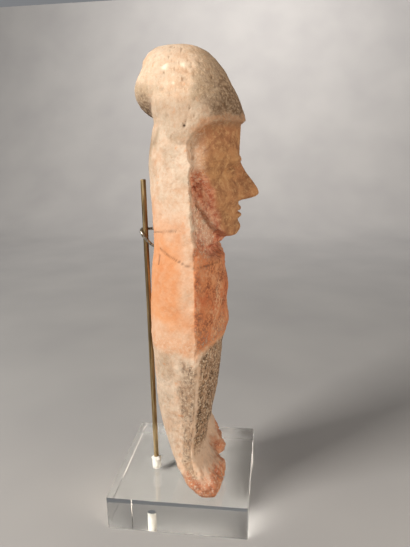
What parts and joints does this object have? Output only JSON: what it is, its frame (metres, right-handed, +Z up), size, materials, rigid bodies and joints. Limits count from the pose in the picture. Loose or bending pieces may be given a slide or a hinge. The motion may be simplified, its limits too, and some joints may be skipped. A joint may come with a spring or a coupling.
{
  "type": "statuette on stand",
  "caption": "terracotta figure in a tall knotted cap, tied upright to a thin rod that stands in a clear acrylic block",
  "frame": {"origin": "middle of the block's underside", "axes": "+Z up the figure, -Y the way the figure faces, +X to the figure's left"},
  "size_m": [0.08, 0.0833, 0.262],
  "materials": {
    "terracotta": "unglazed fired clay with worn slip and paint",
    "rod": "dull drawn brass, browned",
    "block": "clear polished acrylic",
    "glue": "set white adhesive",
    "wire": "dull tinned wire"
  },
  "bodies": {
    "root": {"statuette": "terracotta", "brass_rod": "rod", "acrylic_block": "block", "rod_glue": "glue", "fixing_wire": "wire"}
  },
  "joints": []
}
